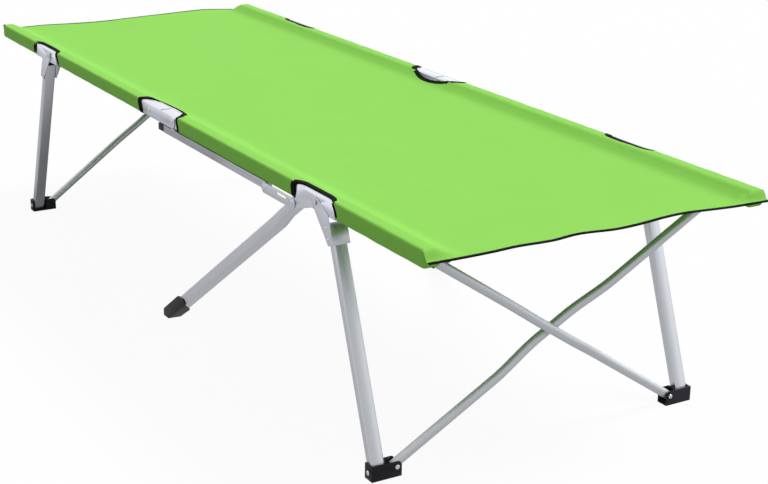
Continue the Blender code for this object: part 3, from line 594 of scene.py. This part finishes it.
moulded = [f"{end}_tube_{letter}_fitting" for end, sx in ENDS for letter in "ab"]
for end, sx, side, sy in CORNERS:
    moulded += [f"{end}_{side}_{part}" for part in ("end_plug", "hinge_plug", "foot")]
for node in moulded:
    hinge_plug = "hinge_plug" in node
    block = fine_copy(node, (1, 0, 0), 0 if hinge_plug else MOULDED_EDGE)
    for vertex in block.data.vertices:
        if hinge_plug and abs(vertex.co.x) < JOINT_GAP_SOLID:
            vertex.co.x = math.copysign(HINGE_PLUG_FACE, vertex.co.x)
    finish(block, plastic)
for side, sy in SIDES:
    bpy.ops.object.select_all(action="DESELECT")
    bpy.ops.mesh.primitive_circle_add(vertices=6, fill_type="NGON", location=(0, 0, 0))
    cap = bpy.context.active_object
    cap.name = f"{side}_boot"
    for vertex, (x, z) in zip(cap.data.vertices, CAP_OUTER):
        vertex.co = (x, sy * CAP_FACE, z)
    bpy.ops.object.mode_set(mode="EDIT")
    depth = (0, sy * (CAP_BACK - CAP_FACE), 0)
    bpy.ops.mesh.extrude_region_move(TRANSFORM_OT_translate={"value": depth})
    bpy.ops.mesh.select_all(action="SELECT")
    bpy.ops.mesh.normals_make_consistent(inside=False)
    bpy.ops.object.mode_set(mode="OBJECT")
    for vertex in cap.data.vertices:
        if abs(vertex.co.y) < (CAP_FACE + CAP_BACK) / 2:
            from_outer = [math.dist((vertex.co.x, vertex.co.z), corner) for corner in CAP_OUTER]
            vertex.co.x, vertex.co.z = CAP_INNER[from_outer.index(min(from_outer))]
    finish_moulding(cap, CAP_EDGE)
    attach(cap, f"{side}_middle_leg")
    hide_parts(f"{side}_middle_cap")
for side, sy in SIDES:
    bpy.ops.object.select_all(action="DESELECT")
    x, y, z = STRUT_PLUG_MIDDLE
    bpy.ops.mesh.primitive_cube_add(size=1, location=(x, sy * y, z))
    plug = bpy.context.active_object
    plug.name = f"{side}_strut_plug"
    plug.scale = STRUT_PLUG_SIZE
    bpy.ops.object.transform_apply(location=True, rotation=False, scale=True)
    finish_moulding(plug, STRUT_PLUG_EDGE)
    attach(plug, f"near_{side}_rail")

# Cloth sleeves. The deck's cloth is turned over each rail and sewn back to itself, which
# leaves a tunnel of cloth round the rail with a cut-out for the leg's bracket.
RAIL_MIDDLE = (0.3115, 0.4125)
HALF = 0.0141
CORNER = 0.0048
SHOULDER = 0.0090
SHOULDER_FALL = 0.0022
SEAM_Z = 0.010
CLOTH_THICK = 0.0007
SLACK = 0.00028
FINE_SLACK = 0.00018
SLACK_FROM_CUT_OUT = (0.010, 0.060)
SLACK_FROM_JOINT = (0.100, 0.160)
SLACK_ENDS = (0.915, 0.940)
TOP_BITE = 0.0050
CUT_OUTS = {"near": (0.549, 0.686), "far": (-0.721, -0.576)}
DRIFT = 0.006
JOINT_EDGE = {"near": (0.0740, -0.027, 1.2), "far": (-0.0980, 0.029, 2.2)}
SLEEVE_CUT = 0.6
SEAMS = (-0.2935, 0.2935, SLEEVE_CUT + 0.006)
STITCH_PITCH = 0.0034
STITCH_SHARE = 0.74
STITCH_HALF = 0.00042
ROWS_IN_PART = (3, 5, 3, 5, 4, 5, 3, 4, 2)
ROWS_NEAR_BITE = (0.90, 0.94, 0.97, 0.985, 0.993, 0.998)
COLUMNS = 22
SLEEVE_END = 0.9432
CLOSED_END = ((0.9455, 0.965), (0.9480, 0.87), (0.9500, 0.70), (0.9514, 0.40), (0.9518, 0.05))
CLOSED_MIDDLE_Z = 0.4112
CLOSED_LIFT = 0.0013
CLOSED_WIDTH = 0.6

quarter_turn = CORNER * math.pi / 2
flat_side = 2 * (HALF - CORNER)
profile_lengths = (
    SEAM_Z + HALF - CORNER,
    quarter_turn,
    flat_side,
    quarter_turn,
    flat_side,
    quarter_turn,
    2 * HALF - CORNER - SHOULDER,
    SHOULDER,
    HALF - SHOULDER_FALL - SEAM_Z,
)
joins = [0.0]
for length in profile_lengths:
    joins.append(joins[-1] + length)
around = joins[-1]
outer_low, outer_high, top_start, shoulder_start, shoulder_end = joins[4:9]
bite = top_start + HALF - CORNER - TOP_BITE


def profile(along):
    """The sleeve's section: (y, z) from the rail's middle and the outward way there."""
    along = min(max(along, 0.0), around)
    part = max(i for i in range(len(profile_lengths)) if joins[i] <= along + 1e-9)
    rest = along - joins[part]
    straight = HALF - CORNER
    if part == 0:
        return -HALF, SEAM_Z - rest, -1.0, 0.0
    if part == 2:
        return -straight + rest, -HALF, 0.0, -1.0
    if part == 4:
        return HALF, -straight + rest, 1.0, 0.0
    if part == 6:
        return straight - rest, HALF, 0.0, 1.0
    if part == 7:
        fall = rest / SHOULDER
        y, z = -HALF + SHOULDER - rest, HALF - SHOULDER_FALL * fall * fall
        return y, z, -0.44 * fall, 1.0 - 0.12 * fall
    if part == 8:
        return -HALF, HALF - SHOULDER_FALL - rest, -1.0, 0.0
    centre_y, centre_z, first = {
        1: (-straight, -straight, math.pi),
        3: (straight, -straight, 1.5 * math.pi),
        5: (straight, straight, 0.0),
    }[part]
    angle = first + rest / CORNER
    out_y, out_z = math.cos(angle), math.sin(angle)
    return centre_y + CORNER * out_y, centre_z + CORNER * out_z, out_y, out_z


def eased(value, low, high):
    """0 below low, 1 above high, and a smooth step between them."""
    share = min(max((value - low) / (high - low), 0.0), 1.0)
    return share * share * (3 - 2 * share)


def ripple(x, along):
    """Slack of the cloth, in metres. It dies out at the cut-outs, the ends and the seam."""
    wave = math.sin(41 * x + 2.1 * math.sin(17 * x)) * math.sin(60 * along + 9 * x)
    slack = SLACK * wave + FINE_SLACK * math.sin(103 * x + 130 * along)
    gap = min(max(first - x, x - last) for first, last in CUT_OUTS.values())
    slack *= eased(gap, *SLACK_FROM_CUT_OUT) * eased(abs(x), *SLACK_FROM_JOINT)
    slack *= 1 - eased(abs(x), *SLACK_ENDS)
    return slack * (1 - eased(along, shoulder_start, shoulder_end))


def on_sleeve(sy, x, along, lift=0.0):
    """The point of a sleeve at this place along the bed and this far round the rail."""
    y, z, out_y, out_z = profile(along)
    lift += ripple(x, along)
    y, z = RAIL_MIDDLE[0] + y + out_y * lift, RAIL_MIDDLE[1] + z + out_z * lift
    return Vector((x, sy * y, z))


def low_drift(along):
    """How far a cut's edge moves towards the near end, lower down on the rail."""
    return DRIFT * eased(outer_high - along, 0.0, outer_high - outer_low)


def cut_border(end, share, late):
    """A point (x, along) of the cut-out's edge: share 0 at the bottom, 1 at the top's middle."""
    first, last = CUT_OUTS[end]
    reach = (1 - share**6) ** (1 / 6)
    middle = (first + last) / 2
    x = middle + (last - middle if late else first - middle) * reach
    return x + low_drift(bite * share), bite * share


def hinge_border(end, along):
    """Where the sleeve ends beside the middle joint: slanted on top of the rail."""
    at_side, slant, curve = JOINT_EDGE[end]
    share = min(max((along - top_start) / (shoulder_end - top_start), 0.0), 1.0)
    return at_side + slant * share**curve + low_drift(along)


def laid_out(name, points, flat, faces):
    """An object from rows of points, with the cut's own measures as its UV map."""
    mesh = bpy.data.meshes.new(name)
    mesh.from_pydata([point for row in points for point in row], [], faces)
    measures = [place for row in flat for place in row]
    layer = mesh.uv_layers.new(name="cut")
    for loop in mesh.loops:
        layer.data[loop.index].uv = measures[loop.vertex_index]
    obj = bpy.data.objects.new(name, mesh)
    bpy.context.scene.collection.objects.link(obj)
    alone(obj)
    return obj


def open_sheet(name, points, flat):
    """One layer of cloth, with a face between each two points of each two rows."""
    wide = len(points[0])
    faces = []
    for row in range(len(points) - 1):
        for first in range(row * wide, row * wide + wide - 1):
            faces.append((first, first + 1, first + wide + 1, first + wide))
    return laid_out(name, points, flat, faces)


def finish_cloth(obj, outside):
    """Joins the rows, turns the faces outwards, and gives the cloth its thickness."""
    bpy.ops.object.mode_set(mode="EDIT")
    bpy.ops.mesh.select_all(action="SELECT")
    bpy.ops.mesh.remove_doubles(threshold=0.000005)
    bpy.ops.object.mode_set(mode="OBJECT")
    faces = obj.data.polygons
    if sum(face.normal.dot(outside(face.center)) * face.area for face in faces) < 0:
        obj.data.flip_normals()
    body = obj.modifiers.new("Solidify", "SOLIDIFY")
    body.thickness = CLOTH_THICK
    body.offset = -1
    bpy.ops.object.modifier_apply(modifier=body.name)
    bpy.ops.object.shade_smooth_by_angle(angle=math.radians(50))
    finish(obj, green)


def cloth(name, dark, light, thread, seams, pitch, rough, depth, shine):
    """A plain weave laid out by the cloth's own UV map, in metres, with stitches along seams."""
    made = bpy.data.materials.new(name)
    start, shader = shader_start(made)
    shader.inputs["Specular IOR Level"].default_value = shine
    uv = start.node("TexCoord", output="UV")
    length, width = uv.parted()[:2]
    u, v = length / pitch, width / pitch
    stitch = start.maths("LESS_THAN", start.maths("FRACT", length / STITCH_PITCH), STITCH_SHARE)
    stitch *= sum(start.maths("COMPARE", width, seam, STITCH_HALF) for seam in seams)
    warp = start.maths("ABSOLUTE", start.maths("SINE", u * math.pi))
    weft = start.maths("ABSOLUTE", start.maths("SINE", v * math.pi))
    over = start.maths("PINGPONG", start.maths("FLOOR", u) + start.maths("FLOOR", v), 1.0)
    yarn = over * warp + (1 - over) * weft
    slub = start.node("TexNoise", inputs={"Vector": uv, "Scale": 900.0, "Detail": 2.0})
    clouds = {"Vector": uv, "Scale": 9.0, "Detail": 5.0, "Roughness": 0.6}
    tone = yarn * 0.30 + slub * 0.25 + start.node("TexNoise", inputs=clouds) * 0.45
    sewn = {0: stitch, 6: tone.shade(dark, light), 7: (*thread, 1)}
    start.node("Mix", {"data_type": "RGBA"}, sewn, output=2).feed(shader, "Base Color")
    (rough - 0.10 * yarn).feed(shader, "Roughness")
    relief = {"Strength": depth, "Distance": 0.0002, "Height": yarn + slub * 0.4 + stitch * 1.2}
    start.node("Bump", inputs=relief).feed(shader, "Normal")
    return made


green = cloth(
    "green_cloth", dark=(0.256, 0.655, 0.082), light=(0.317, 0.765, 0.117),
    thread=(0.25, 0.63, 0.085), seams=SEAMS, pitch=0.0008, rough=0.78, depth=0.35, shine=0.22,
)
round_rows = {0.0, around, bite} | {bite * share for share in ROWS_NEAR_BITE}
for i, rows in enumerate(ROWS_IN_PART):
    round_rows |= {joins[i] + (joins[i + 1] - joins[i]) * row / rows for row in range(rows)}
round_rows = sorted(round_rows)
for end, sx, side, sy in CORNERS:
    halves = []
    for late in (False, True):
        points, flat = [], []
        beside_joint = late == (end == "far")
        for along in round_rows:
            edge = cut_border(end, min(along / bite, 1.0), late)[0]
            start_x = hinge_border(end, along) if beside_joint else sx * SLEEVE_END
            xs = [start_x + (edge - start_x) * step / COLUMNS for step in range(COLUMNS + 1)]
            row = [on_sleeve(sy, x, along) for x in xs]
            cut = [(x, SLEEVE_CUT + along) for x in xs]
            if not beside_joint:
                y, z, out_y, out_z = profile(along)
                for x, scale in CLOSED_END:
                    narrowed = y * (CLOSED_WIDTH + (1 - CLOSED_WIDTH) * scale)
                    closed_y = sy * (RAIL_MIDDLE[0] + narrowed)
                    closed_z = CLOSED_MIDDLE_Z + (z + CLOSED_LIFT) * scale
                    row.insert(0, Vector((sx * x, closed_y, closed_z)))
                    cut.insert(0, (sx * x, SLEEVE_CUT + along))
            points.append(row)
            flat.append(cut)
        halves.append((points, flat))
    sleeve = open_sheet(f"{end}_{side}_cloth_sleeve", *halves[0])
    open_sheet(f"{end}_{side}_half", *halves[1])
    sleeve.select_set(True)
    bpy.context.view_layer.objects.active = sleeve
    bpy.ops.object.join()
    finish_cloth(
        sleeve,
        lambda point: Vector((0, point.y - sy * RAIL_MIDDLE[0], point.z - RAIL_MIDDLE[1])),
    )
    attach(sleeve, f"{end}_{side}_rail")
    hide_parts(f"{end}_{side}_sleeve")

# Deck. One sheet of the same cloth, stretched between the sleeves, lower than the rails and
# scooped at both ends. It is laid here in three stretches, parted where the bed folds.
DECK_Z = 0.4131
DECK_RAISED = -0.0006
FOLD_X = 0.054
STRETCHES = (("near", "near_left_rail"), ("middle", "left_link"), ("far", "far_left_rail"))
DECK_HALF = 0.2984
OVER_END = 0.3262
WIDENED = (0.9446, 0.9468)
FLAT_HALF = 0.255
WIDER_ROWS_FROM = 0.27
HEM_ZONE = 0.880
HEM_ZONE_LONG = 0.075
SLOPE_START = {-1: 0.2690, 1: 0.2750}
SLOPE = {-1: 0.42, 1: 0.56}
SLOPE_ROUND = 0.0050
SLOPE_ENDS = (0.9455, 0.9600)
OVER_SLEEVE = 0.0148
SAG = 0.0024
SAG_HALF = 0.270
SAG_HALVES = (0.80, 0.95)
HEM_DROP = 0.0016
HEM_DROPS = (0.945, 0.975)
FAR_HEM_LIFT = 0.0040
FAR_HEM_RISES = (0.860, 0.970)
FAR_HEM_FADES = (0.20, 0.30)
DIMPLE = 0.0006
DIMPLE_FADES = (0.20, 0.28)
NEAR_HEM = (
    (-0.3262, 0.9640), (-0.270, 0.9645), (-0.215, 0.9630), (-0.167, 0.9592), (-0.105, 0.9612),
    (-0.054, 0.9562), (0.005, 0.9625), (0.035, 0.9622), (0.085, 0.9575), (0.115, 0.9538),
    (0.160, 0.9526), (0.206, 0.9586), (0.250, 0.9632), (0.300, 0.9650), (0.3262, 0.9655),
)
FAR_HEM = (
    (-0.3262, 0.9490), (-0.3080, 0.9580), (-0.284, 0.9730), (-0.252, 0.9730), (-0.187, 0.9540),
    (-0.086, 0.9480), (0.032, 0.9640), (0.150, 0.9830), (0.230, 0.9860), (0.290, 0.9760),
    (0.3262, 0.9600),
)
ARCH = (
    (-0.0690, 0.2984), (-0.0600, 0.2952), (-0.0450, 0.2905), (-0.0220, 0.2868),
    (0.0000, 0.2868), (0.0200, 0.2895), (0.0360, 0.2935), (0.0470, 0.2984),
)
HALF_ACROSS = [
    0.03, 0.06, 0.09, 0.12, 0.15, 0.175, 0.20, 0.22, 0.235, 0.248, 0.256, 0.262, 0.267, 0.271,
    0.275, 0.279, 0.283, 0.287, 0.291, 0.2945, 0.2968, 0.2984,
]
HEM_STATIONS = [
    0.900, 0.914, 0.924, 0.931, 0.936, 0.9395, 0.9420, 0.9435, 0.9450, 0.9463, 0.9476, 0.9490,
    0.9502, 0.9514, 0.9526, 0.9538, 0.9550,
]


def smooth_through(points, x):
    """The height at x of a smooth line through points that run along x."""
    if x <= points[0][0]:
        return points[0][1]
    if x >= points[-1][0]:
        return points[-1][1]
    i = max(k for k in range(len(points) - 1) if points[k][0] <= x)
    before, here, there = points[max(i - 1, 0)], points[i], points[i + 1]
    after = points[min(i + 2, len(points) - 1)]
    width = there[0] - here[0]
    t = (x - here[0]) / width
    rise_here = (there[1] - before[1]) / (there[0] - before[0]) * width
    rise_there = (after[1] - here[1]) / (after[0] - here[0]) * width
    return (
        (2 * t**3 - 3 * t**2 + 1) * here[1]
        + (t**3 - 2 * t**2 + t) * rise_here
        + (3 * t**2 - 2 * t**3) * there[1]
        + (t**3 - t**2) * rise_there
    )


def deck_edge(x):
    """The deck's half width at x."""
    if ARCH[0][0] < x < ARCH[-1][0]:
        return smooth_through(ARCH, x)
    return DECK_HALF + (OVER_END - DECK_HALF) * eased(abs(x), *WIDENED)


def deck_height(x, y):
    """The height of the deck's upper face: it slopes up to the sleeves and sags between."""
    side = -1 if y < 0 else 1
    past = min((abs(y) - SLOPE_START[side]) / SLOPE_ROUND, 30.0)
    slope = min(SLOPE[side] * SLOPE_ROUND * math.log1p(math.exp(past)), OVER_SLEEVE)
    slope *= 1 - eased(abs(x), *SLOPE_ENDS)
    sag = SAG * (1 - min(abs(y) / SAG_HALF, 1.0) ** 2) * (1 - 0.5 * eased(abs(x), *SAG_HALVES))
    hem = HEM_DROP * eased(abs(x), *HEM_DROPS)
    hem -= FAR_HEM_LIFT * eased(-x, *FAR_HEM_RISES) * (1 - eased(abs(y), *FAR_HEM_FADES))
    dimple = DIMPLE * math.sin(9 * x + 3 * math.sin(7 * y)) * math.sin(12 * y + 2 * x)
    return DECK_Z + DECK_RAISED + slope - sag - hem + dimple * (1 - eased(abs(y), *DIMPLE_FADES))


def on_deck(x, y, lift=0.0):
    """The point of the deck's upper face at (x, y)."""
    return Vector((x, y, deck_height(x, y) + lift))


def hem_at(end, y):
    """Where the cloth ends at this place across the bed."""
    return smooth_through(NEAR_HEM, y) if end == "near" else -smooth_through(FAR_HEM, y)


def deck_place(stretch, station, place):
    """The (x, y) of a point in a row: rows bend to the hem, and their ends to the edge."""
    x, y = station, place
    if stretch != "middle" and abs(station) > HEM_ZONE:
        hem_y = place * OVER_END / DECK_HALF if abs(place) > WIDER_ROWS_FROM else place
        share = (abs(station) - HEM_ZONE) / HEM_ZONE_LONG
        x = math.copysign(HEM_ZONE + (abs(hem_at(stretch, hem_y)) - HEM_ZONE) * share, station)
    if abs(place) >= FLAT_HALF:
        share = (abs(place) - FLAT_HALF) / (DECK_HALF - FLAT_HALF)
        y = math.copysign(FLAT_HALF + share * (deck_edge(x) - FLAT_HALF), place)
    return x, y


row_places = [-y for y in reversed(HALF_ACROSS)] + [0.0] + HALF_ACROSS
decks = {}
for stretch, body in STRETCHES:
    if stretch == "middle":
        stations = [FOLD_X * (step / 9 - 1) for step in range(19)]
    else:
        stations = [FOLD_X + (HEM_ZONE - FOLD_X) * step / 40 for step in range(41)]
        stations += HEM_STATIONS
        stations = [x if stretch == "near" else -x for x in stations]
    flat = [[deck_place(stretch, station, y) for y in row_places] for station in stations]
    points = [[on_deck(x, y) for x, y in row] for row in flat]
    deck = open_sheet(f"{stretch}_cloth_deck", points, flat)
    finish_cloth(deck, lambda point: Vector((0, 0, 1)))
    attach(deck, body)
    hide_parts(f"{stretch}_deck")
    decks[stretch] = deck

# Binding. Black woven tape, folded over every raw edge of the cloth and sewn through: round
# the cut-outs, beside the middle joint and along the hems at both ends.
TAPE_TOP = ((-0.0011, -0.0003), (-0.0008, 0.0005), (0.0002, 0.0008), (0.0018, 0.0009))
TAPE_UNDER = ((0.0002, -0.0013), (-0.0008, -0.0011))
TAPE_ABOVE = 0.0009
TAPE_BELOW = -0.0013
TAPE_FLAT_FROM = 0.0018
TAPE_LOWER_EDGE = ((0.0, -0.0008), (-0.0006, -0.0012))
TAPE_UPPER_EDGE = ((-TAPE_FLAT_FROM, TAPE_ABOVE), (-0.0005, 0.0007), (0.0, 0.0001))
TAPE_STITCH = 0.0019
JOINT_TAPE = 0.0095
JOINT_TAPE_WIDENS = 0.0020
CUT_OUT_TAPE = 0.0082
CUT_OUT_TAPE_WIDENS = {True: 0.0058, False: 0.0012}
ARCH_TAPE = 0.0075
HEM_TAPE = 0.0048
HEM_TAPE_HALF = 0.3258
ARCH_STRETCHES = (
    ("middle", -FOLD_X, 0.0536, "left_link"), ("far", -0.0755, -FOLD_X, "far_left_rail"),
)
CUT_SHARES = [
    0.0, 0.1, 0.2, 0.3, 0.4, 0.5, 0.58, 0.65, 0.71, 0.76, 0.80, 0.84, 0.875, 0.905, 0.93, 0.95,
    0.965, 0.977, 0.986, 0.992, 0.996, 0.9985, 1.0,
]

black_tape = cloth(
    "black_tape", dark=(0.0020, 0.0020, 0.0026), light=(0.0075, 0.0075, 0.0090),
    thread=(0.012, 0.012, 0.014), seams=(-TAPE_STITCH,), pitch=0.0011, rough=0.9, depth=0.6,
    shine=0.07,
)


def tape_section(reach):
    """The folded tape's (inward, up) section, round from its inner edge below to that above."""
    wide = reach - 2 * TAPE_FLAT_FROM
    between = [TAPE_FLAT_FROM + wide * step / 5 for step in range(1, 5)]
    section = [(reach + shift, lift) for shift, lift in TAPE_LOWER_EDGE]
    section += [(inward, TAPE_BELOW) for inward in reversed(between)]
    section += TAPE_UNDER + TAPE_TOP
    section += [(inward, TAPE_ABOVE) for inward in between]
    return section + [(reach + shift, lift) for shift, lift in TAPE_UPPER_EDGE]


def tape_strip(name, places, surface, outside, body, wide):
    """A folded tape along places (a, b) of a flat pattern, which surface puts in the air.

    wide gives the tape's width from the way in which it lies on the cloth."""
    points, flat = [], []
    run = 0.0
    for i, place in enumerate(places):
        before = Vector(places[max(i - 1, 0)])
        after = Vector(places[min(i + 1, len(places) - 1)])
        way = (after - before).normalized()
        inward = Vector((-way.y, way.x)) * outside
        if i:
            run += (Vector(place) - Vector(places[i - 1])).length
        section = tape_section(wide(inward))
        row = []
        for shift, lift in section:
            spot = Vector(place) + inward * shift
            row.append(surface(spot.x, spot.y, lift))
        points.append(row)
        steps = [math.dist(here, there) for here, there in zip(section, section[1:])]
        flat.append([(run, -sum(steps[k:])) for k in range(len(section))])
    rows, turn = len(points), len(points[0])
    faces = [tuple(range(turn)), tuple(range((rows - 1) * turn, rows * turn))]
    for first in range(0, (rows - 1) * turn, turn):
        for k in range(turn):
            low, high = first + k, first + (k + 1) % turn
            faces.append((low, high, high + turn, low + turn))
    tape = laid_out(name, points, flat, faces)
    bpy.ops.object.mode_set(mode="EDIT")
    bpy.ops.mesh.select_all(action="SELECT")
    bpy.ops.mesh.normals_make_consistent(inside=False)
    bpy.ops.object.mode_set(mode="OBJECT")
    bpy.ops.object.shade_smooth_by_angle(angle=math.radians(60))
    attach(tape, body)
    finish(tape, black_tape)
    return tape


def cut_out_tape(inward):
    """Round a cut-out the tape lies wider on the side towards the near end."""
    return CUT_OUT_TAPE - inward.x * CUT_OUT_TAPE_WIDENS[inward.x < 0]


tapes = {}
for end, sx, side, sy in CORNERS:
    rail = f"{end}_{side}_rail"
    wrap = lambda x, along, lift, sy=sy: on_sleeve(sy, x, along, lift)
    border = [cut_border(end, share, False) for share in CUT_SHARES]
    border += [cut_border(end, share, True) for share in reversed(CUT_SHARES[:-1])]
    name = f"{end}_{side}_window_binding"
    tapes[end, side, "window"] = tape_strip(name, border, wrap, 1, rail, cut_out_tape)
    border = [(hinge_border(end, around * step / 60), around * step / 60) for step in range(61)]
    tapes[end, side, "hinge"] = tape_strip(
        f"{end}_{side}_hinge_binding", border, wrap, -sx, rail,
        lambda inward: JOINT_TAPE - JOINT_TAPE_WIDENS * inward.x,
    )
for side, sy in SIDES:
    for stretch, first, last, body in ARCH_STRETCHES:
        xs = [first + (last - first) * step / 16 for step in range(17)]
        border = [(x, sy * deck_edge(x)) for x in xs]
        tapes[stretch, side, "arch"] = tape_strip(
            f"{stretch}_{side}_arch_binding", border, on_deck, -sy, body, lambda inward: ARCH_TAPE
        )
for end, sx in ENDS:
    ys = [HEM_TAPE_HALF * (step / 60 - 1) for step in range(121)]
    tapes[end, "hem"] = tape_strip(
        f"{end}_hem_tape", [(hem_at(end, y), y) for y in ys], on_deck, sx, f"{end}_left_rail",
        lambda inward: HEM_TAPE,
    )

# The deck and the arch and hem tapes sewn to it each get a mesh of their own.
on_the_deck = [tape for key, tape in tapes.items() if key[-1] in ("arch", "hem")]
for piece in list(decks.values()) + on_the_deck:
    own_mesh(piece)
